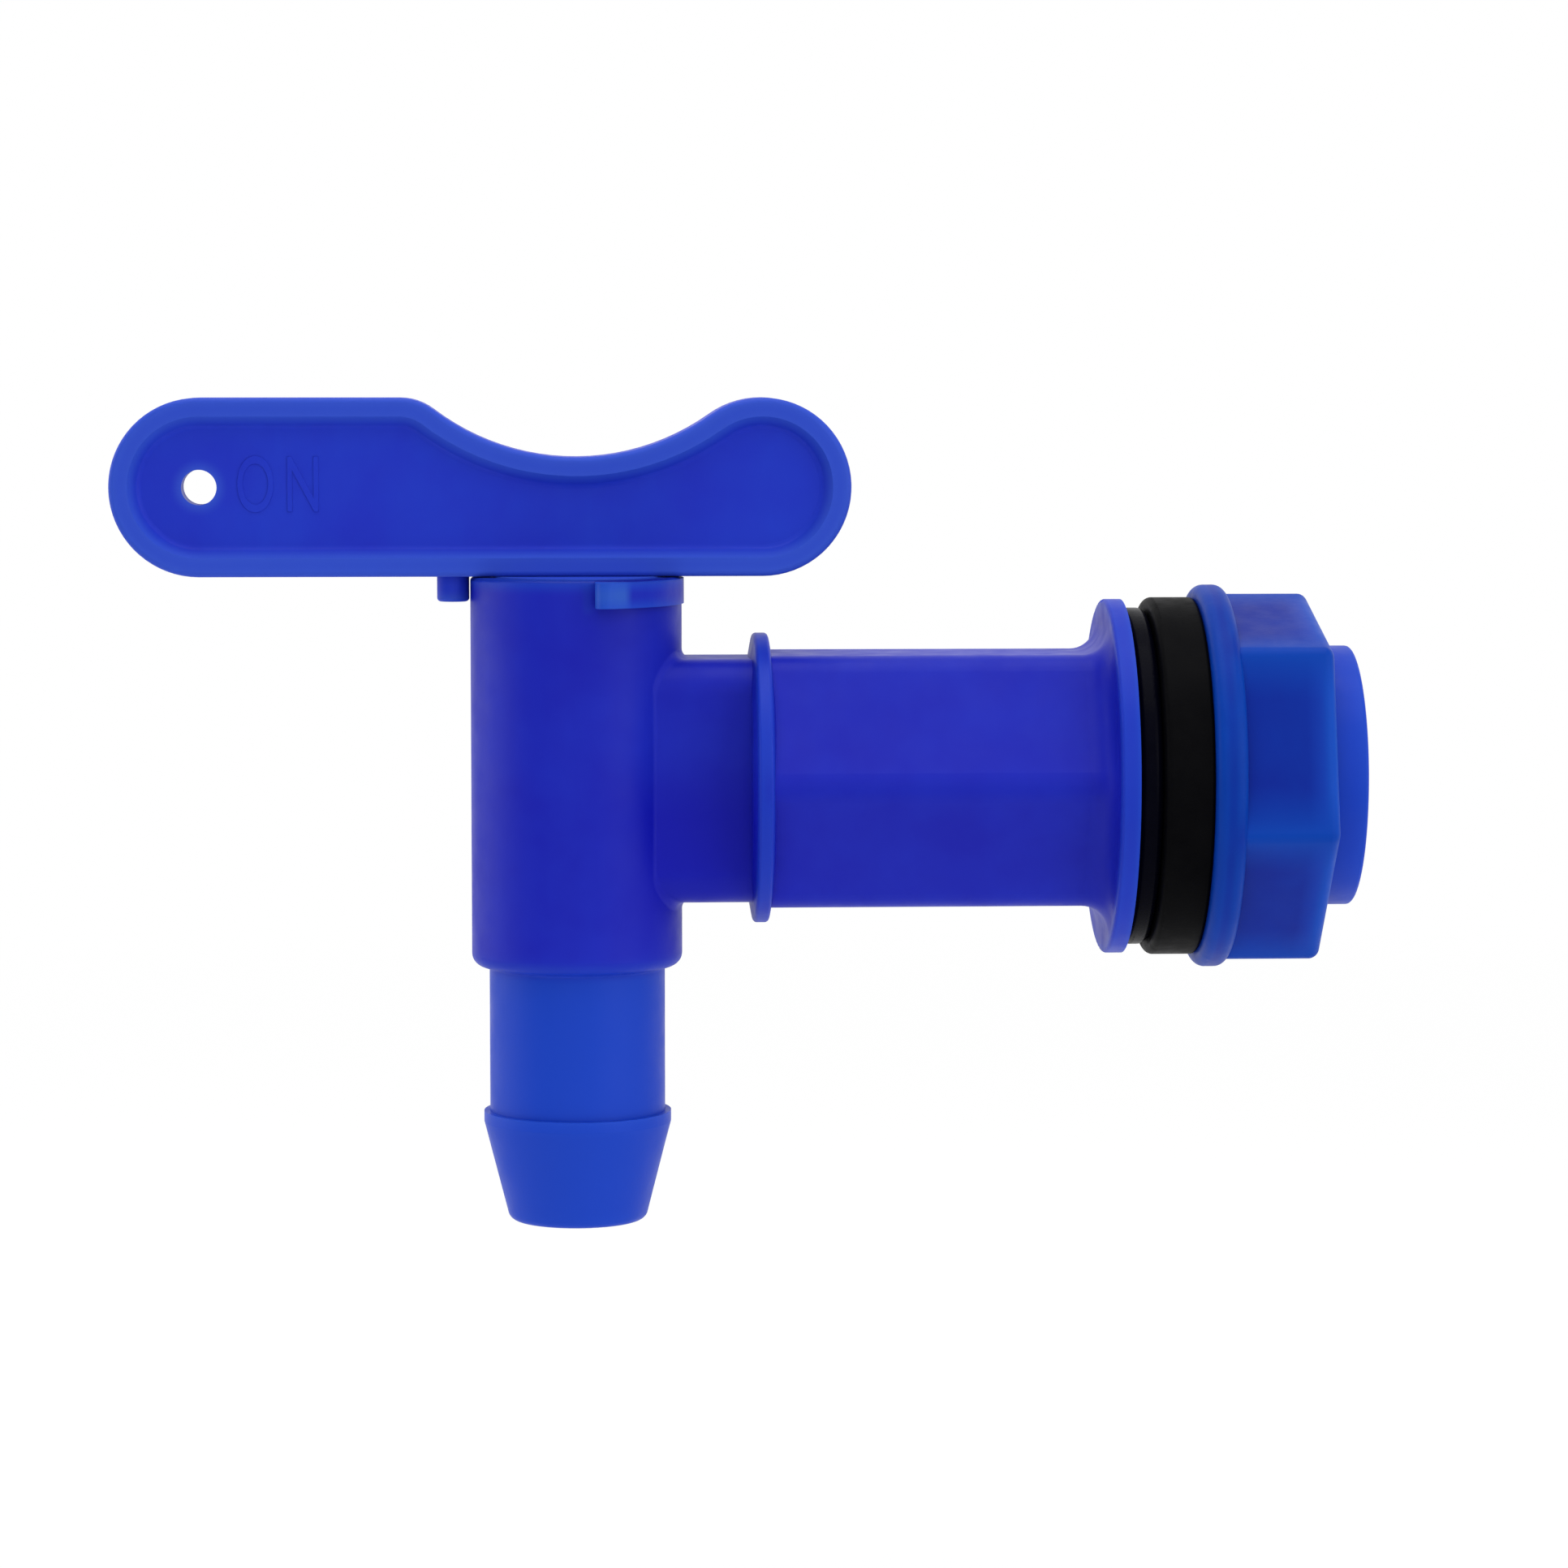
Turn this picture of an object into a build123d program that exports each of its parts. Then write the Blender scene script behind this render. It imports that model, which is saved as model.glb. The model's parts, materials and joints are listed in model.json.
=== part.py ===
from build123d import *
import os
from math import sqrt

# Bottling spigot: a quarter-turn plug tap moulded in plastic, in millimetres.
# Origin: centre of the flange's sealing face, on the inlet axis.
# +X runs along the inlet into the container, +Z up the barrel to the handle, +Y to the back.

# Clearances
KEY_GAP = 0.05
SNAP_GAP = 0.1
SEAL_GAP = 0.02
STOP_GAP = 0.1
RUN_GAP = 0.1
THREAD_GAP = 0.15

# Inlet: collar, hexagon, flange and threaded tail (G 3/4) on the X axis
INLET_REACH = 50.0
NECK_HEIGHT = 22.2
NECK_WIDTH = 13.4
NECK_CORNER_ROUND = 3.0
NECK_ROOT = 0.8
COLLAR_R = 13.3
COLLAR_FROM_AXIS = 16.8
COLLAR_RIM = 1.3
COLLAR_BASE = 2.1
HEX_FLATS = 22.95
HEX_CORNER_ROUND = 2.7
FLANGE_R = 16.3
FLANGE_THICK = 1.7
FLANGE_FILLET = 2.4
THREAD_MAJOR_R = 13.22
THREAD_CORE_R = 12.15
PILOT_R = 11.95
PILOT_LENGTH = 3.1
TAIL_LENGTH = 21.2
INLET_BORE_R = 9.3
INLET_END_FROM_AXIS = 17.8
PORT_R = 5.0

# Barrel and hose spout, turned about the barrel axis
BARREL_X = -INLET_REACH
BARREL_R = 9.65
BARREL_BOTTOM = -17.2
BARREL_ROUND = 1.2
SHOULDER_FLAT = 0.05
KEY_BORE_R = 7.8
SEAT_Z = -13.5
SPOUT_R = 8.05
BARB_R = 8.6
BARB_TOP = -30.6
BARB_LAND = 1.0
TIP_R = 6.25
TIP_Z = -40.75
TIP_ROUND = 0.9
PASSAGE_R = 5.4
OUTLET_R = 4.9
OUTLET_TOP = -33.0

# Stop lug: a crescent around the inlet side of the barrel top, with an end at the front and back
LUG_DROP = 0.1
LUG_BOTTOM = 16.1
LUG_R = 13.95
LUG_SHIFT = 4.1
LUG_ROUND = 1.0

# Key: paddle handle, stop peg and hollow plug
HANDLE_BOTTOM = 18.6
LOBE_R = 8.1
LEFT_LOBE = -34.1
RIGHT_LOBE = 16.95
SCOOP_R = 21.25
SCOOP_CORNER_R = 5.0
HANDLE_THICK = 6.0
WEB_THICK = 3.8
RIM_WIDTH = 1.7
RIM_DRAFT = 40
RIM_EDGE = 0.5
WEB_FILLET = 0.6
HANG_HOLE_R = 1.6
PEG_R = 1.47
PEG_FROM_AXIS = 11.2
PEG_BOTTOM = 16.25
PLUG_BOTTOM = -13.2
PLUG_TOP_OF_HOLLOW = 6.8
SNAP_Z = -11.6
SNAP_HEIGHT = 1.2
SNAP_OUT = 0.3

# Seals
O_RING_SECTION = 1.5
O_RING_GROOVE = 2.0
UPPER_O_RING_Z = 11.0
LOWER_O_RING_Z = -8.2
WASHER_R = 15.5
WASHER_THICK = 2.2
WASHER_EDGE = 0.78
SEAL_R = 16.45
SEAL_THICK = 4.45
SEAL_EDGE = 0.7

# Back nut
NUT_FLANGE_R = 17.6
NUT_FLANGE_THICK = 2.85
NUT_FLANGE_ROUND = 1.0
NUT_LENGTH = 11.3
NUT_FLATS = 30.0
NUT_CORNER_ROUND = 1.2
NUT_END_ROUND = 1.0
NUT_TURN = 14.5
EDGE_ROUND = 0.35

# Sizes that follow from the ones above
PLUG_R = KEY_BORE_R - KEY_GAP
GROOVE_FLOOR_R = KEY_BORE_R - KEY_GAP - O_RING_SECTION
SNAP_R = PLUG_R + SNAP_OUT
LUG_END = PEG_R + STOP_GAP
BARREL_TOP = HANDLE_BOTTOM - RUN_GAP
LOBE_Z = HANDLE_BOTTOM + LOBE_R
HANDLE_TOP = HANDLE_BOTTOM + 2 * LOBE_R
SEAL_INNER_R = THREAD_MAJOR_R + STOP_GAP
NUT_X = WASHER_THICK + SEAL_THICK + SEAL_GAP
NUT_BORE_R = THREAD_CORE_R + THREAD_GAP

BARREL_PLANE = Plane((BARREL_X, 0, 0), x_dir=(1, 0, 0), z_dir=(0, -1, 0))
BARREL_AXIS = Axis((BARREL_X, 0, 0), (0, 0, 1))


def turned(plane, axis, outline, rounds=()):
    """Turn a closed outline about an axis, with the named corners rounded."""
    with BuildSketch(plane) as section:
        with BuildLine():
            Polyline(*outline, close=True)
        make_face()
        for corner, radius in rounds:
            fillet(section.vertices().sort_by_distance(Vector(*corner))[0], radius)
    return revolve(section.sketch, axis)


def along_inlet(outline, rounds=()):
    """Turn an outline of X and radius about the inlet axis."""
    return turned(Plane.XY, Axis.X, outline, rounds)


def about_barrel(outline, rounds=()):
    """Turn an outline of radius and height about the barrel axis."""
    return turned(BARREL_PLANE, BARREL_AXIS, outline, rounds)


def hexagon(flats, corner_round, turn, start, end):
    """Hexagonal prism along X with rounded corners."""
    with BuildSketch(Plane.YZ.offset(start)) as section:
        RegularPolygon(flats / 2, 6, major_radius=False, rotation=turn)
        fillet(section.vertices(), corner_round)
    return extrude(section.sketch, end - start)


def barrel_and_spout():
    """Outside of the barrel, the hose spout and its single barb."""
    shoulder_round = BARREL_R - SPOUT_R - SHOULDER_FLAT - EDGE_ROUND
    outline = [
        (0, BARREL_TOP),
        (BARREL_R, BARREL_TOP),
        (BARREL_R, BARREL_BOTTOM),
        (SPOUT_R, BARREL_BOTTOM),
        (SPOUT_R, BARB_TOP),
        (BARB_R, BARB_TOP),
        (BARB_R, BARB_TOP - BARB_LAND),
        (TIP_R, TIP_Z),
        (0, TIP_Z),
    ]
    rounds = [
        ((BARREL_R, BARREL_TOP), EDGE_ROUND),
        ((BARREL_R, BARREL_BOTTOM), min(BARREL_ROUND, shoulder_round)),
        ((SPOUT_R, BARREL_BOTTOM), EDGE_ROUND),
        ((TIP_R, TIP_Z), TIP_ROUND),
    ]
    return about_barrel(outline, rounds)


def stop_lug():
    """Crescent lug whose two ends stop the peg a quarter turn either way."""
    height = BARREL_TOP - LUG_DROP - LUG_BOTTOM
    with BuildSketch(Plane.XY.offset(LUG_BOTTOM)) as section:
        with Locations((BARREL_X - LUG_SHIFT, 0)):
            Circle(LUG_R)
        with Locations((BARREL_X + LUG_END, 0)):
            Rectangle(LUG_R, 2 * LUG_R, align=(Align.MIN, Align.CENTER), mode=Mode.INTERSECT)
        fillet(section.vertices(), LUG_ROUND)
    return extrude(section.sketch, height)


def neck():
    """Flat-sided neck from the barrel to the collar."""
    with BuildSketch(Plane.YZ.offset(BARREL_X)) as section:
        Rectangle(NECK_WIDTH, NECK_HEIGHT)
        fillet(section.vertices(), NECK_CORNER_ROUND)
    return extrude(section.sketch, COLLAR_FROM_AXIS)


def inlet_outside():
    """Drafted collar, hexagon, flange and tail."""
    collar_x = BARREL_X + COLLAR_FROM_AXIS
    collar = along_inlet([
        (collar_x - COLLAR_BASE / 2, 0),
        (collar_x - COLLAR_BASE / 2, NECK_HEIGHT / 2),
        (collar_x - COLLAR_RIM / 2, COLLAR_R),
        (collar_x + COLLAR_RIM / 2, COLLAR_R),
        (collar_x + COLLAR_BASE / 2, NECK_HEIGHT / 2),
        (collar_x + COLLAR_BASE / 2, 0),
    ], [
        ((collar_x - COLLAR_RIM / 2, COLLAR_R), EDGE_ROUND),
        ((collar_x + COLLAR_RIM / 2, COLLAR_R), EDGE_ROUND),
    ])
    flange = along_inlet([
        (-FLANGE_THICK, 0),
        (-FLANGE_THICK, FLANGE_R),
        (0, FLANGE_R),
        (0, THREAD_CORE_R),
        (TAIL_LENGTH - PILOT_LENGTH, THREAD_CORE_R),
        (TAIL_LENGTH - PILOT_LENGTH, PILOT_R),
        (TAIL_LENGTH, PILOT_R),
        (TAIL_LENGTH, 0),
    ], [
        ((-FLANGE_THICK, FLANGE_R), EDGE_ROUND),
        ((TAIL_LENGTH, PILOT_R), EDGE_ROUND),
    ])
    hex_and_flange = flange + hexagon(HEX_FLATS, HEX_CORNER_ROUND, 0, collar_x, -FLANGE_THICK)
    flange_side = hex_and_flange.faces().filter_by(Axis.X).sort_by(Axis.X)[1]
    root = flange_side.inner_wires()[0].edges()
    return collar + fillet(root, FLANGE_FILLET)


def barrel_inside():
    """Key bore with its snap groove, the seat and the passage to the outlet."""
    groove_r = SNAP_R + SNAP_GAP
    groove_half = SNAP_HEIGHT / 2 + SNAP_GAP
    return about_barrel([
        (0, BARREL_TOP),
        (KEY_BORE_R, BARREL_TOP),
        (KEY_BORE_R, SNAP_Z + groove_half),
        (groove_r, SNAP_Z + groove_half / 2),
        (groove_r, SNAP_Z - groove_half / 2),
        (KEY_BORE_R, SNAP_Z - groove_half),
        (KEY_BORE_R, SEAT_Z),
        (PASSAGE_R, SEAT_Z),
        (PASSAGE_R, BARB_TOP),
        (OUTLET_R, OUTLET_TOP),
        (OUTLET_R, TIP_Z),
        (0, TIP_Z),
    ])


def inlet_inside():
    """Inlet bore from the tail end and the smaller port into the key bore."""
    bore_end = BARREL_X + INLET_END_FROM_AXIS
    return along_inlet([
        (BARREL_X, 0),
        (BARREL_X, PORT_R),
        (bore_end, PORT_R),
        (bore_end, INLET_BORE_R),
        (TAIL_LENGTH, INLET_BORE_R),
        (TAIL_LENGTH, 0),
    ])


def tap_body():
    """One moulding: barrel, spout, stop lug, inlet and tail, bored through."""
    barrel_and_neck = barrel_and_spout() + neck()
    root_x = BARREL_X + sqrt(BARREL_R ** 2 - (NECK_WIDTH / 2) ** 2)
    root = barrel_and_neck.edges().filter_by(Axis.Z).sort_by_distance((root_x, 0, 0))[:2]
    outside = fillet(root, NECK_ROOT) + stop_lug() + inlet_outside()
    return outside - barrel_inside() - inlet_inside()


def handle_outline():
    """Paddle outline: two round ends and a thumb scoop over the barrel axis."""
    scoop_z = LOBE_Z + sqrt((SCOOP_R + LOBE_R) ** 2 - RIGHT_LOBE ** 2)
    to_scoop = Vector(-RIGHT_LOBE, scoop_z - LOBE_Z).normalized()
    touch = Vector(RIGHT_LOBE, LOBE_Z) + to_scoop * LOBE_R
    scoop_low = (0, scoop_z - SCOOP_R)
    corner = (-sqrt(SCOOP_R ** 2 - (scoop_z - HANDLE_TOP) ** 2), HANDLE_TOP)
    with BuildSketch(BARREL_PLANE) as outline:
        with BuildLine():
            Line((LEFT_LOBE, HANDLE_BOTTOM), (RIGHT_LOBE, HANDLE_BOTTOM))
            ThreePointArc((RIGHT_LOBE, HANDLE_BOTTOM), (RIGHT_LOBE + LOBE_R, LOBE_Z), touch)
            ThreePointArc(touch, scoop_low, corner)
            Line(corner, (LEFT_LOBE, HANDLE_TOP))
            ThreePointArc((LEFT_LOBE, HANDLE_TOP), (LEFT_LOBE - LOBE_R, LOBE_Z), (LEFT_LOBE, HANDLE_BOTTOM))
        make_face()
        fillet(outline.vertices().sort_by_distance(Vector(*corner))[0], SCOOP_CORNER_R)
    return outline.sketch


def handle():
    """Paddle with a raised rim around a thin web, the same on both sides."""
    outline = handle_outline()
    paddle = extrude(outline, HANDLE_THICK / 2, both=True)
    sides = paddle.faces().filter_by(Axis.Y)
    paddle = fillet(sides.edges(), RIM_EDGE)
    depth = (HANDLE_THICK - WEB_THICK) / 2
    mouth = Pos(0, -HANDLE_THICK / 2, 0) * offset(outline, -RIM_WIDTH)
    front_pocket = extrude(mouth, depth, dir=(0, 1, 0), taper=RIM_DRAFT)
    front_pocket = fillet(front_pocket.faces().sort_by(Axis.Y)[-1].edges(), WEB_FILLET)
    back_pocket = mirror(front_pocket, Plane.XZ)
    return paddle - front_pocket - back_pocket


def plug():
    """Round plug with its ring grooves and snap bead, hollow from below, with a window to the inlet."""
    half_groove = O_RING_GROOVE / 2
    half_snap = SNAP_HEIGHT / 2
    solid = about_barrel([
        (0, HANDLE_BOTTOM),
        (PLUG_R, HANDLE_BOTTOM),
        (PLUG_R, UPPER_O_RING_Z + half_groove),
        (GROOVE_FLOOR_R, UPPER_O_RING_Z + half_groove),
        (GROOVE_FLOOR_R, UPPER_O_RING_Z - half_groove),
        (PLUG_R, UPPER_O_RING_Z - half_groove),
        (PLUG_R, LOWER_O_RING_Z + half_groove),
        (GROOVE_FLOOR_R, LOWER_O_RING_Z + half_groove),
        (GROOVE_FLOOR_R, LOWER_O_RING_Z - half_groove),
        (PLUG_R, LOWER_O_RING_Z - half_groove),
        (PLUG_R, SNAP_Z + half_snap),
        (SNAP_R, SNAP_Z + half_snap / 2),
        (SNAP_R, SNAP_Z - half_snap / 2),
        (PLUG_R, SNAP_Z - half_snap),
        (PLUG_R, PLUG_BOTTOM),
        (0, PLUG_BOTTOM),
    ], [
        ((PLUG_R, PLUG_BOTTOM), EDGE_ROUND),
    ])
    hollow = about_barrel([
        (0, PLUG_BOTTOM),
        (PASSAGE_R, PLUG_BOTTOM),
        (PASSAGE_R, PLUG_TOP_OF_HOLLOW),
        (0, PLUG_TOP_OF_HOLLOW),
    ], [
        ((PASSAGE_R, PLUG_TOP_OF_HOLLOW), PASSAGE_R / 3),
    ])
    window = along_inlet([
        (BARREL_X, 0),
        (BARREL_X, PORT_R),
        (BARREL_X + BARREL_R, PORT_R),
        (BARREL_X + BARREL_R, 0),
    ])
    return solid - hollow - window


def stop_peg():
    """Peg under the handle that runs around the outside of the barrel."""
    length = HANDLE_BOTTOM - PEG_BOTTOM + RIM_WIDTH / 2
    peg = Cylinder(PEG_R, length, align=(Align.CENTER, Align.CENTER, Align.MIN))
    peg = fillet(peg.edges().group_by(Axis.Z)[0], EDGE_ROUND)
    return Pos(BARREL_X - PEG_FROM_AXIS, 0, PEG_BOTTOM) * peg


def tap_key():
    """One moulding: paddle handle, stop peg and plug, with the hanging hole."""
    hole = Pos(BARREL_X + LEFT_LOBE, 0, LOBE_Z) * Rot(90, 0, 0) * Cylinder(HANG_HOLE_R, HANDLE_THICK)
    return handle() + plug() + stop_peg() - hole


def o_ring(height):
    """Ring seal in a groove of the plug, drawn at its fitted size."""
    ring_r = KEY_BORE_R - SEAL_GAP - O_RING_SECTION / 2
    return Pos(BARREL_X, 0, height) * Torus(ring_r, O_RING_SECTION / 2)


def flange_washer():
    """Thin round-edged rubber washer against the flange."""
    edge = min(WASHER_EDGE, (WASHER_R - SEAL_INNER_R) / 2)
    return along_inlet([
        (0, SEAL_INNER_R),
        (0, WASHER_R),
        (WASHER_THICK, WASHER_R),
        (WASHER_THICK, SEAL_INNER_R),
    ], [
        ((0, WASHER_R), edge),
        ((WASHER_THICK, WASHER_R), edge),
    ])


def wall_seal():
    """Thick rubber seal between the thin washer and the nut."""
    end = WASHER_THICK + SEAL_THICK
    return along_inlet([
        (WASHER_THICK, SEAL_INNER_R),
        (WASHER_THICK, SEAL_R),
        (end, SEAL_R),
        (end, SEAL_INNER_R),
    ], [
        ((WASHER_THICK, SEAL_R), SEAL_EDGE),
        ((end, SEAL_R), EDGE_ROUND),
    ])


def back_nut():
    """Hexagonal nut with a round flange, on the thread of the tail."""
    end = NUT_X + NUT_LENGTH
    flange = along_inlet([
        (NUT_X, NUT_BORE_R),
        (NUT_X, NUT_FLANGE_R),
        (NUT_X + NUT_FLANGE_THICK, NUT_FLANGE_R),
        (NUT_X + NUT_FLANGE_THICK, NUT_BORE_R),
    ], [
        ((NUT_X, NUT_FLANGE_R), NUT_FLANGE_ROUND),
        ((NUT_X + NUT_FLANGE_THICK, NUT_FLANGE_R), NUT_FLANGE_ROUND),
    ])
    grip = hexagon(NUT_FLATS, NUT_CORNER_ROUND, NUT_TURN, NUT_X + NUT_FLANGE_THICK / 2, end)
    grip = fillet(grip.faces().sort_by(Axis.X)[-1].edges(), NUT_END_ROUND)
    bore = along_inlet([
        (NUT_X, 0),
        (NUT_X, THREAD_MAJOR_R),
        (NUT_X + THREAD_MAJOR_R - NUT_BORE_R, NUT_BORE_R),
        (end, NUT_BORE_R),
        (end, 0),
    ])
    return flange + grip - bore


os.makedirs("parts", exist_ok=True)
export_step(tap_body(), "parts/tap_body.step")
export_step(tap_key(), "parts/tap_key.step")
export_step(o_ring(UPPER_O_RING_Z), "parts/upper_o_ring.step")
export_step(o_ring(LOWER_O_RING_Z), "parts/lower_o_ring.step")
export_step(flange_washer(), "parts/flange_washer.step")
export_step(wall_seal(), "parts/wall_seal.step")
export_step(back_nut(), "parts/back_nut.step")
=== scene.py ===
import bpy
import json
from math import cos, hypot, pi, radians, sin
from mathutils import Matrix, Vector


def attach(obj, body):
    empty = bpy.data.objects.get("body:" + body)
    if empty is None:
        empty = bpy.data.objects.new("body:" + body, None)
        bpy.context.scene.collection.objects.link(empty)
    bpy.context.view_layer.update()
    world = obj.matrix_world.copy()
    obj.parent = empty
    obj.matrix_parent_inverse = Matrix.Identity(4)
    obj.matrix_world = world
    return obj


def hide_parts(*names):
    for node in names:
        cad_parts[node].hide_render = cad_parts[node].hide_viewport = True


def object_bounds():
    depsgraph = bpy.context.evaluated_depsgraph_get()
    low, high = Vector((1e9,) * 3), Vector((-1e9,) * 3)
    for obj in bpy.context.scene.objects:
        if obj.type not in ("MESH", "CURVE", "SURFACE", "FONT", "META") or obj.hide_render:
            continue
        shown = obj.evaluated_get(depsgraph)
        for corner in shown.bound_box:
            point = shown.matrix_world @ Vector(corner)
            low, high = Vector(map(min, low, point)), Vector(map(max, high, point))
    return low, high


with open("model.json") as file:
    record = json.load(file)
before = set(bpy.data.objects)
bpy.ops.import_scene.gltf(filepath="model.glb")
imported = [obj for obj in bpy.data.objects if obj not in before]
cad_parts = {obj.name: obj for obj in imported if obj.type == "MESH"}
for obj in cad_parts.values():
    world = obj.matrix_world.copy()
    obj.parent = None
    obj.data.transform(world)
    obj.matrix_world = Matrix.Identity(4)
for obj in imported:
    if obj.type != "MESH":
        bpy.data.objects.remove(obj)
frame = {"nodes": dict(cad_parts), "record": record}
cad_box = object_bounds()
record = frame["record"]


# Tap body: barrel, hose spout, stop lug, hexagonal inlet, flange and threaded tail.
# One injection moulding in royal blue polypropylene, with a satin skin from the mould.
# Its edges are painted paler and greener: painted light for what thin rims let through and for
# their sheen.
MM = 0.001
CLOUD_SIZE = 9 * MM
STREAK_SIZE = 1.2 * MM
STREAK_STRETCH = (1, 1, 0.15)
STREAK_SHARE = 0.25
EDGE_GLOW_SHARE = 0.85
EDGE_OPENNESS = 0.45
SATIN_PATCH = 2.5 * MM
SATIN_ROUGHNESS = (0.37, 0.49)
SKIN_GRAIN = 0.35 * MM
SKIN_DEPTH = 0.05 * MM
WAVE_SIZE = 6 * MM
WAVE_DEPTH = 0.12 * MM
BODY_SHINE = 0.11
BODY_EDGE_DEPTH = 1.4 * MM
BODY_DEEP = (0.006, 0.010, 0.35)
BODY_CLEAR = (0.008, 0.018, 0.40)
# Edge colour, painted light: light let through thin edges and their sheen.
BODY_EDGE_GLOW = (0.010, 0.056, 0.47)
# Neck colour: partly the thick neck's deeper blue, partly painted shade, darkest below its
# middle.
NECK_SHADE = (0.004, 0.006, 0.34)
# Spout and pilot colour, painted light: paler for the light let through thin walls.
SPOUT_GLOW = (0.006, 0.043, 0.43)
# Painted highlight on the front end of the stop lug.
LUG_END_HIGHLIGHT = (0.022, 0.088, 0.44)
# Painted shade on the barrel's top face, in the gap under the handle.
BARREL_TOP_SHADE = (0.002, 0.003, 0.16)


def node(tree, kind, **values):
    """Add a shader node and set its options and unlinked inputs."""
    new = tree.nodes.new("ShaderNode" + kind)
    for name, value in values.items():
        if name in new.inputs:
            new.inputs[name].default_value = value
        else:
            setattr(new, name, value)
    return new


def combine(tree, operation, first, second):
    """Put two node outputs through one sum."""
    result = node(tree, "Math", operation=operation)
    tree.links.new(first, result.inputs[0])
    tree.links.new(second, result.inputs[1])
    return result.outputs[0]


def scaled_coordinates(tree, scale=(1, 1, 1)):
    """Object coordinates, drawn out along an axis where its scale is small."""
    place = node(tree, "TexCoord")
    stretch = node(tree, "Mapping", Scale=scale)
    tree.links.new(place.outputs["Object"], stretch.inputs["Vector"])
    return stretch.outputs["Vector"]


def noise(tree, vector, size, detail=3.0):
    """Noise whose features are about the given size in metres."""
    pattern = node(tree, "TexNoise", Scale=1 / size, Detail=detail, Roughness=0.55)
    tree.links.new(vector, pattern.inputs["Vector"])
    return pattern.outputs["Fac"]


def spread(tree, value, low, high, start=0.3, end=0.7):
    """Map a value between start and end on to the range from low to high."""
    ramp = node(tree, "MapRange")
    ramp.inputs["From Min"].default_value = start
    ramp.inputs["From Max"].default_value = end
    ramp.inputs["To Min"].default_value = low
    ramp.inputs["To Max"].default_value = high
    tree.links.new(value, ramp.inputs["Value"])
    return ramp.outputs["Result"]


def blend_colours(tree, factor, first, second):
    """Mix two colours, each a fixed colour or another node's output."""
    mix = node(tree, "Mix", data_type="RGBA")
    tree.links.new(factor, mix.inputs["Factor"])
    colour_inputs = [socket for socket in mix.inputs if socket.type == "RGBA"]
    for socket, colour in zip(colour_inputs, (first, second)):
        if hasattr(colour, "is_linked"):
            tree.links.new(colour, socket)
        else:
            socket.default_value = (*colour, 1.0)
    return next(socket for socket in mix.outputs if socket.type == "RGBA")


def inside_zone(tree, limits, softness):
    """One inside a box of the object and zero outside, fading over its edges."""
    place = node(tree, "TexCoord")
    parts = node(tree, "SeparateXYZ")
    tree.links.new(place.outputs["Object"], parts.inputs["Vector"])
    sides = []
    for axis, low, high in limits:
        sides.append(spread(tree, parts.outputs[axis], 1, 0, low, low - softness))
        sides.append(spread(tree, parts.outputs[axis], 1, 0, high, high + softness))
    mask = sides[0]
    for side in sides[1:]:
        mask = combine(tree, "MULTIPLY", mask, side)
    return mask


def moulded_plastic(name, deep, clear, rim, shine, edge_depth, zones=()):
    """Satin plastic: cloudy colour by zones, edges painted paler as painted light, flow streaks
    and a fine skin.
    """
    material = bpy.data.materials.new(name)
    material.use_nodes = True
    tree = material.node_tree
    shader = tree.nodes["Principled BSDF"]
    straight = scaled_coordinates(tree)
    along = scaled_coordinates(tree, STREAK_STRETCH)
    cloud = spread(tree, noise(tree, straight, CLOUD_SIZE), 0, 1)
    streak = spread(tree, noise(tree, along, STREAK_SIZE), 0, STREAK_SHARE)
    colour = blend_colours(tree, cloud, deep, clear)
    colour = blend_colours(tree, streak, colour, deep)
    for limits, softness, zone_colour in zones:
        colour = blend_colours(tree, inside_zone(tree, limits, softness), colour, zone_colour)
    # Painted light: inside occlusion finds the edges, which are painted towards the paler edge
    # colour.
    openness = node(tree, "AmbientOcclusion", inside=True, only_local=True, samples=8,
                    Distance=edge_depth)
    edge_glow_mask = spread(tree, openness.outputs["AO"], EDGE_GLOW_SHARE, 0, EDGE_OPENNESS, 1)
    colour = blend_colours(tree, edge_glow_mask, colour, rim)
    tree.links.new(colour, shader.inputs["Base Color"])
    satin = spread(tree, noise(tree, straight, SATIN_PATCH), *SATIN_ROUGHNESS)
    tree.links.new(satin, shader.inputs["Roughness"])
    skin = node(tree, "Bump", Strength=0.12, Distance=SKIN_DEPTH)
    tree.links.new(noise(tree, straight, SKIN_GRAIN, detail=2.0), skin.inputs["Height"])
    waves = node(tree, "Bump", Strength=0.25, Distance=WAVE_DEPTH)
    tree.links.new(noise(tree, straight, WAVE_SIZE, detail=1.0), waves.inputs["Height"])
    tree.links.new(skin.outputs["Normal"], waves.inputs["Normal"])
    tree.links.new(waves.outputs["Normal"], shader.inputs["Normal"])
    shader.inputs["Specular IOR Level"].default_value = shine
    return material


def dress(node_name, material):
    """Give a CAD node one material all over."""
    mesh = frame["nodes"][node_name].data
    mesh.materials.clear()
    mesh.materials.append(material)


spout_glow_zone = [("Z", -60 * MM, -18 * MM)]
pilot_glow_zone = [("X", 18.1 * MM, 30 * MM)]
neck_shade_zone = [("X", -43.2 * MM, -34.3 * MM), ("Z", -11.4 * MM, -3 * MM)]
barrel_top_shade_zone = [("Z", 18.45 * MM, 19 * MM)]
lug_end_highlight_zone = [("X", -49 * MM, -45.8 * MM), ("Y", -20 * MM, -10.2 * MM), ("Z", 16 * MM, 19 * MM)]
BODY_ZONES = [
    (spout_glow_zone, 2 * MM, SPOUT_GLOW),
    (pilot_glow_zone, 0.4 * MM, SPOUT_GLOW),
    (neck_shade_zone, 6 * MM, NECK_SHADE),
    (barrel_top_shade_zone, 0.3 * MM, BARREL_TOP_SHADE),
    (lug_end_highlight_zone, 0.7 * MM, LUG_END_HIGHLIGHT),
]
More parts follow.
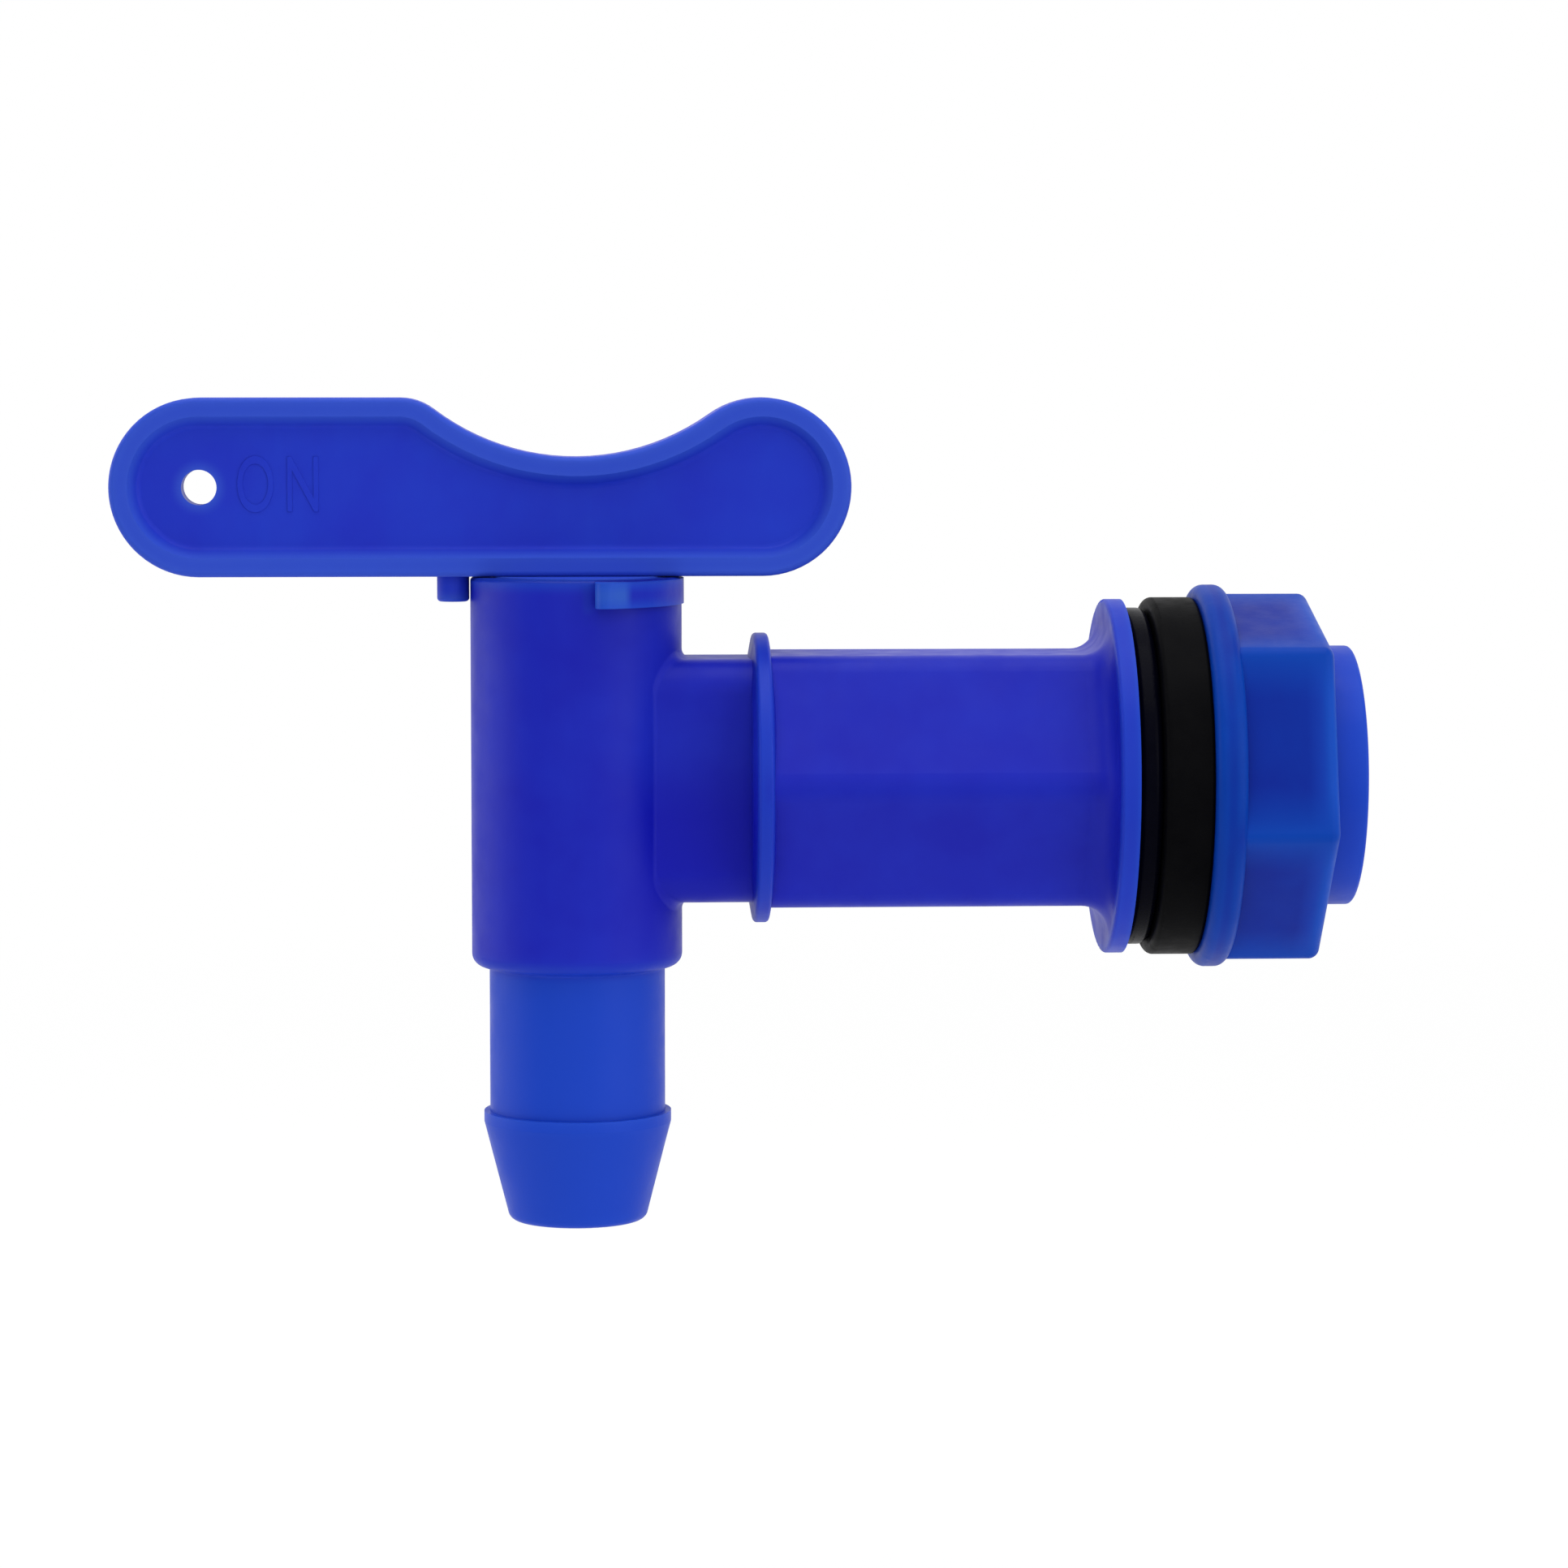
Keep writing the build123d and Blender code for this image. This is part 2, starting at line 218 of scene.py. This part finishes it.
body_plastic = moulded_plastic("body_plastic", BODY_DEEP, BODY_CLEAR, BODY_EDGE_GLOW,
                               BODY_SHINE, BODY_EDGE_DEPTH, BODY_ZONES)
dress("tap_body", body_plastic)


# Pipe thread on the tail: one right-hand ridge of the same plastic, moulded with the body.
# It winds from the seals to the smooth pilot and runs out at both ends.
CORE_R = 12.15 * MM
CREST_R = 13.22 * MM
RIDGE_FOOT = 1.5 * MM
RIDGE_CREST = 0.42 * MM
RIDGE_SINK = 0.2 * MM
RIDGE_START = 2.75 * MM
RIDGE_TURNS = 8
RIDGE_STEPS = 79
RUN_OUT_STEPS = 30
RUN_OUT_LOW = 0.05
SMOOTH_UP_TO = radians(25)
thread_pitch = record["behaviour"]["couplings"][0]["ratio"] * 2 * pi


def helix(name, start, turns, low_r, high_r, foot, crest):
    """Wind a trapezoid about the X axis, let it run out at both ends and close it."""
    bpy.ops.object.select_all(action="DESELECT")
    bpy.ops.mesh.primitive_plane_add(size=1)
    coil = bpy.context.object
    coil.name = name
    corners = [(start - foot / 2, low_r), (start + foot / 2, low_r),
               (start - crest / 2, high_r), (start + crest / 2, high_r)]
    for vertex, (x, z) in zip(coil.data.vertices, corners):
        vertex.co = (x, 0, z)
    bpy.ops.object.mode_set(mode="EDIT")
    bpy.ops.mesh.select_all(action="SELECT")
    bpy.ops.mesh.delete(type="ONLY_FACE")
    bpy.ops.object.mode_set(mode="OBJECT")
    winding = coil.modifiers.new("winding", "SCREW")
    winding.axis = "X"
    winding.angle = 2 * pi
    winding.screw_offset = thread_pitch
    winding.iterations = turns
    winding.steps = RIDGE_STEPS
    winding.render_steps = RIDGE_STEPS
    bpy.ops.object.modifier_apply(modifier=winding.name)
    last_step = len(coil.data.vertices) // len(corners) - 1
    for index, vertex in enumerate(coil.data.vertices):
        step = index // len(corners)
        from_end = min(step, last_step - step)
        rise = min(1, max(RUN_OUT_LOW, from_end / RUN_OUT_STEPS))
        radius = hypot(vertex.co.y, vertex.co.z)
        lowered = (low_r + (radius - low_r) * rise) / radius
        vertex.co.y *= lowered
        vertex.co.z *= lowered
    bpy.ops.object.mode_set(mode="EDIT")
    bpy.ops.mesh.select_all(action="SELECT")
    bpy.ops.mesh.fill_holes(sides=4)
    bpy.ops.mesh.select_all(action="SELECT")
    bpy.ops.mesh.normals_make_consistent(inside=False)
    bpy.ops.object.mode_set(mode="OBJECT")
    return coil


thread = helix("tail_thread", RIDGE_START, RIDGE_TURNS, CORE_R - RIDGE_SINK, CREST_R,
               RIDGE_FOOT, RIDGE_CREST)
thread.data.materials.append(body_plastic)
bpy.ops.object.shade_smooth_by_angle(angle=SMOOTH_UP_TO)
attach(thread, "body")


# Ring seals on the plug: two moulded rubber rings, stretched into grooves of the key.
# They sit inside the barrel, above and below the plug's window.
RUBBER_SHINE = 0.02
RUBBER_PATCH = 3 * MM
SHEEN_PATCH = 1.5 * MM
RUBBER_GRAIN = 0.25 * MM
RUBBER_GRAIN_DEPTH = 0.04 * MM
RING_BLACK = (0.002, 0.002, 0.0025)
RING_WORN = (0.004, 0.004, 0.004)
RING_ROUGHNESS = (0.3, 0.42)


def rubber(name, black, worn, roughness):
    """Black rubber with a fine moulded grain and dusty patches."""
    material = bpy.data.materials.new(name)
    material.use_nodes = True
    tree = material.node_tree
    shader = tree.nodes["Principled BSDF"]
    straight = scaled_coordinates(tree)
    patches = spread(tree, noise(tree, straight, RUBBER_PATCH), 0, 1)
    tree.links.new(blend_colours(tree, patches, black, worn), shader.inputs["Base Color"])
    sheen = spread(tree, noise(tree, straight, SHEEN_PATCH), *roughness)
    tree.links.new(sheen, shader.inputs["Roughness"])
    grain = node(tree, "Bump", Strength=0.3, Distance=RUBBER_GRAIN_DEPTH)
    tree.links.new(noise(tree, straight, RUBBER_GRAIN, detail=2.0), grain.inputs["Height"])
    tree.links.new(grain.outputs["Normal"], shader.inputs["Normal"])
    shader.inputs["Specular IOR Level"].default_value = RUBBER_SHINE
    return material


ring_rubber = rubber("o_ring_rubber", RING_BLACK, RING_WORN, RING_ROUGHNESS)
dress("upper_o_ring", ring_rubber)
dress("lower_o_ring", ring_rubber)


# Key: paddle handle with a raised rim, stop peg and plug, moulded in one piece.
# Its blue is a shade lighter than the body's, as the paddle is thin and open to the light.
# The plug snaps into the barrel, and the key turns on it.
KEY_SHINE = 0.11
KEY_EDGE_DEPTH = 1.1 * MM
KEY_DEEP = (0.010, 0.024, 0.44)
KEY_CLEAR = (0.011, 0.036, 0.48)
# Rim colour, painted light: the paddle's raised rim is painted paler than its recessed web.
KEY_RIM_LIGHT = (0.022, 0.060, 0.49)
# Edge colour of the key, painted light: light let through thin edges and their sheen.
KEY_EDGE_GLOW = (0.034, 0.088, 0.52)
RIM_SLOPE = 0.8 * MM
paddle_heights = ("Z", 18.5 * MM, 60 * MM)
front_rim_light_zone = [("Y", -10 * MM, -2.8 * MM), paddle_heights]
back_rim_light_zone = [("Y", 2.8 * MM, 10 * MM), paddle_heights]
KEY_ZONES = [(front_rim_light_zone, RIM_SLOPE, KEY_RIM_LIGHT), (back_rim_light_zone, RIM_SLOPE, KEY_RIM_LIGHT)]
key_plastic = moulded_plastic("key_plastic", KEY_DEEP, KEY_CLEAR, KEY_EDGE_GLOW,
                              KEY_SHINE, KEY_EDGE_DEPTH, KEY_ZONES)
dress("tap_key", key_plastic)


# Raised letters on the paddle's web, beside the hanging hole.
# They are moulded with the key and stand a tenth of a millimetre proud.
LETTER_SIZE = 7.2 * MM
LETTER_NARROW = 0.61
LETTER_SPACING = 1.35
LETTER_RAISE = 0.11 * MM
LETTER_EDGE = 0.04 * MM
LETTER_FROM_HOLE = 7.2 * MM
hanging_hole = next(mount for mount in record["mounts"] if mount["name"] == "hanging_hole")
hole_x, _, hole_z = hanging_hole["pos_m"]
web_front = -hanging_hole["dims"]["length_mm"] * MM / 2
bpy.ops.object.select_all(action="DESELECT")
bpy.ops.object.text_add(location=(hole_x + LETTER_FROM_HOLE, web_front, hole_z),
                        rotation=(radians(90), 0, 0))
letters = bpy.context.object
letters.name = "open_letters"
letters.data.body = "ON"
letters.data.align_x = "CENTER"
letters.data.align_y = "CENTER"
letters.data.size = LETTER_SIZE
letters.data.space_character = LETTER_SPACING
letters.scale.x = LETTER_NARROW
letters.data.extrude = LETTER_RAISE - LETTER_EDGE
letters.data.bevel_depth = LETTER_EDGE
bpy.ops.object.convert(target="MESH")
bpy.ops.object.transform_apply(location=True, rotation=True, scale=True)
letter_plastic = moulded_plastic("letter_plastic", KEY_DEEP, KEY_CLEAR, KEY_CLEAR,
                                 KEY_SHINE, LETTER_EDGE)
letters.data.materials.clear()
letters.data.materials.append(letter_plastic)
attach(letters, "key")


# Flange washer: a thin smooth rubber ring between the flange and the container wall.
# Moulded, with a round edge and a soft shine, and slipped over the thread.
WASHER_BLACK = (0.0004, 0.0005, 0.003)
WASHER_WORN = (0.001, 0.001, 0.004)
WASHER_ROUGHNESS = (0.24, 0.34)
dress("flange_washer", rubber("washer_rubber", WASHER_BLACK, WASHER_WORN, WASHER_ROUGHNESS))


# Wall seal: a thick satin rubber ring that the nut presses on the container wall.
# Cut square at the nut, rounded at the wall and loose on the thread.
SEAL_BLACK = (0.001, 0.001, 0.0015)
SEAL_WORN = (0.002, 0.002, 0.0025)
SEAL_ROUGHNESS = (0.4, 0.52)
dress("wall_seal", rubber("seal_rubber", SEAL_BLACK, SEAL_WORN, SEAL_ROUGHNESS))


# Back nut: a flanged hexagonal nut, moulded in a greener blue than the body.
# Its bore holds the groove that runs on the tail's ridge, cut a little wider and deeper.
# The groove is in step with the ridge, so the nut follows it when it turns.
GROOVE_GAP = 0.06 * MM
GROOVE_LEAD = 1
GROOVE_TURNS = 8
MERGE_WITHIN = 0.001 * MM
NUT_SHINE = 0.068
NUT_EDGE_DEPTH = 1.5 * MM
NUT_DEEP = (0.001, 0.014, 0.235)
NUT_CLEAR = (0.001, 0.024, 0.29)
# Edge colour of the nut, painted light: light let through thin edges and their sheen.
NUT_EDGE_GLOW = (0.001, 0.102, 0.48)
# Painted highlight along the hexagon's rounded corners.
NUT_CORNER_HIGHLIGHT = (0.001, 0.042, 0.34)
NUT_END = (0.005, 0.046, 0.39)
NUT_END_FADE = 2.4 * MM
PALE_FROM_R = 15.5 * MM
PALE_TO_R = 17.1 * MM
GRIP_FADE = 0.4 * MM
grip_zone = [("X", 9.6 * MM, 30 * MM)]
nut_end_zone = [("X", 17.6 * MM, 30 * MM)]


def paint_corner_highlights(material):
    """Paint a highlight on the hexagon towards its corners, where its rounded edges catch the
    light.
    """
    tree = material.node_tree
    place = node(tree, "TexCoord")
    across = node(tree, "VectorMath", operation="MULTIPLY")
    across.inputs[1].default_value = (0, 1, 1)
    tree.links.new(place.outputs["Object"], across.inputs[0])
    from_axis = node(tree, "VectorMath", operation="LENGTH")
    tree.links.new(across.outputs["Vector"], from_axis.inputs[0])
    far_out = spread(tree, from_axis.outputs["Value"], 0, 1, PALE_FROM_R, PALE_TO_R)
    corner_highlight_mask = combine(tree, "MULTIPLY", far_out, inside_zone(tree, grip_zone, GRIP_FADE))
    base_colour = tree.nodes["Principled BSDF"].inputs["Base Color"]
    shade = base_colour.links[0].from_socket
    tree.links.new(blend_colours(tree, corner_highlight_mask, shade, NUT_CORNER_HIGHLIGHT), base_colour)


nut_plastic = moulded_plastic("nut_plastic", NUT_DEEP, NUT_CLEAR, NUT_EDGE_GLOW, NUT_SHINE,
                              NUT_EDGE_DEPTH, [(nut_end_zone, NUT_END_FADE, NUT_END)])
paint_corner_highlights(nut_plastic)
cutter = helix("groove_cutter", RIDGE_START + GROOVE_LEAD * thread_pitch, GROOVE_TURNS,
               CORE_R - RIDGE_SINK, CREST_R + GROOVE_GAP,
               RIDGE_FOOT + 2 * GROOVE_GAP, RIDGE_CREST + 2 * GROOVE_GAP)
plain_nut = frame["nodes"]["back_nut"]
bpy.ops.object.select_all(action="DESELECT")
plain_nut.select_set(True)
bpy.context.view_layer.objects.active = plain_nut
bpy.ops.object.duplicate()
nut = bpy.context.object
nut.name = "threaded_nut"
bpy.ops.mesh.customdata_custom_splitnormals_clear()
bpy.ops.object.mode_set(mode="EDIT")
bpy.ops.mesh.select_all(action="SELECT")
bpy.ops.mesh.remove_doubles(threshold=MERGE_WITHIN)
bpy.ops.object.mode_set(mode="OBJECT")
groove = nut.modifiers.new("groove", "BOOLEAN")
groove.operation = "DIFFERENCE"
groove.object = cutter
bpy.ops.object.modifier_apply(modifier=groove.name)
bpy.ops.object.mode_set(mode="EDIT")
bpy.ops.mesh.select_all(action="SELECT")
bpy.ops.mesh.remove_doubles(threshold=MERGE_WITHIN)
bpy.ops.mesh.quads_convert_to_tris()
bpy.ops.mesh.dissolve_degenerate(threshold=MERGE_WITHIN)
bpy.ops.object.mode_set(mode="OBJECT")
bpy.ops.object.shade_smooth_by_angle(angle=SMOOTH_UP_TO)
nut.data.materials.clear()
nut.data.materials.append(nut_plastic)
bpy.data.objects.remove(cutter)
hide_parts("back_nut")
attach(nut, "nut")


# Floor: a plain pale board below the tap, which is held at its tail.
# It looks white to the camera and in the gloss, and keeps a soft shadow near the tap.
FLOOR_DROP = 40 * MM
FLOOR_SIZE = 6.0
FLOOR_FRONT = 0.2
FLOOR_PAINT = (0.9, 0.9, 0.9, 1.0)
FLOOR_ROUGHNESS = 0.9
WHITE_NEAR = 0.85
SHADOW_REACH = (0.15, 0.6)


def shows_background(tree):
    """One for a ray that comes straight from the camera, off gloss or through clear material."""
    ray = node(tree, "LightPath")
    seen = combine(tree, "MAXIMUM", ray.outputs["Is Camera Ray"], ray.outputs["Is Glossy Ray"])
    return combine(tree, "MAXIMUM", seen, ray.outputs["Is Transmission Ray"])


floor_z = cad_box[0][2] - FLOOR_DROP
bpy.ops.object.select_all(action="DESELECT")
bpy.ops.mesh.primitive_plane_add(size=FLOOR_SIZE,
                                 location=(0, FLOOR_SIZE / 2 - FLOOR_FRONT, floor_z))
floor = bpy.context.object
floor.name = "floor"
bpy.ops.object.transform_apply(location=True)
floor_white = bpy.data.materials.new("floor_white")
floor_white.use_nodes = True
floor_tree = floor_white.node_tree
paint = floor_tree.nodes["Principled BSDF"]
paint.inputs["Base Color"].default_value = FLOOR_PAINT
paint.inputs["Roughness"].default_value = FLOOR_ROUGHNESS
glow = node(floor_tree, "Emission", Strength=1.0)
spot = node(floor_tree, "TexCoord")
from_tap = node(floor_tree, "VectorMath", operation="LENGTH")
floor_tree.links.new(spot.outputs["Object"], from_tap.inputs[0])
whiteness = spread(floor_tree, from_tap.outputs["Value"], WHITE_NEAR, 1, *SHADOW_REACH)
floor_mix = node(floor_tree, "MixShader")
floor_tree.links.new(combine(floor_tree, "MULTIPLY", shows_background(floor_tree), whiteness),
                     floor_mix.inputs["Fac"])
floor_tree.links.new(paint.outputs["BSDF"], floor_mix.inputs[1])
floor_tree.links.new(glow.outputs["Emission"], floor_mix.inputs[2])
floor_tree.links.new(floor_mix.outputs["Shader"],
                     floor_tree.nodes["Material Output"].inputs["Surface"])
floor.data.materials.append(floor_white)


# Studio: a white sweep behind the tap, three softboxes and a fill from the front.
# The camera stands at the photograph's angle, a little above the tap's middle.
SWEEP_FRONT = 0.08
SWEEP_TURN = (-0.3, 0.5)
TARGET = (-30.97 * MM, 0, -0.62 * MM)
LIGHT_DISTANCE = 0.9
CAMERA_AZIMUTH = -3.14
CAMERA_ELEVATION = 4.86
CAMERA_DISTANCE = 461 * MM
CAMERA_SENSOR = 36
CAMERA_LENS = 115.2
CAMERA_NEAR = 0.01
world = bpy.data.worlds.new("white_sweep")
world.use_nodes = True
bpy.context.scene.world = world
sky = world.node_tree
background = sky.nodes["Background"]
direction = node(sky, "TexCoord")
heading = node(sky, "SeparateXYZ")
sky.links.new(direction.outputs["Generated"], heading.inputs["Vector"])
behind = spread(sky, heading.outputs["Y"], SWEEP_FRONT, 1, *SWEEP_TURN)
sky.links.new(combine(sky, "MAXIMUM", behind, shows_background(sky)),
              background.inputs["Strength"])
background.inputs["Color"].default_value = (1, 1, 1, 1)


def facing_tap(azimuth, elevation, distance):
    """Place and rotation of a lamp or camera that looks at the tap from a direction around it."""
    turn = radians(azimuth)
    lift = radians(elevation)
    place = (TARGET[0] + distance * sin(turn) * cos(lift),
             TARGET[1] - distance * cos(turn) * cos(lift),
             TARGET[2] + distance * sin(lift))
    return {"location": place, "rotation": (radians(90) - lift, 0, turn)}


def soft_light(name, azimuth, elevation, size, watts, mirrored=True):
    """Square softbox that faces the tap, seen in its gloss or not."""
    bpy.ops.object.light_add(type="AREA", **facing_tap(azimuth, elevation, LIGHT_DISTANCE))
    lamp = bpy.context.object
    lamp.name = name
    lamp.data.size = size
    lamp.data.energy = watts
    lamp.visible_glossy = mirrored


soft_light("left_softbox", -100, 12, 0.8, 4.0)
soft_light("right_softbox", 48, 15, 0.8, 4.0)
soft_light("top_softbox", -5, 78, 0.9, 6.4)
soft_light("front_fill", -10, 15, 0.8, 2.8, mirrored=False)
bpy.ops.object.camera_add(**facing_tap(CAMERA_AZIMUTH, CAMERA_ELEVATION, CAMERA_DISTANCE))
camera = bpy.context.object
camera.data.sensor_width = CAMERA_SENSOR
camera.data.lens = CAMERA_LENS
camera.data.clip_start = CAMERA_NEAR
bpy.context.scene.camera = camera
bpy.context.scene.view_settings.view_transform = "Standard"
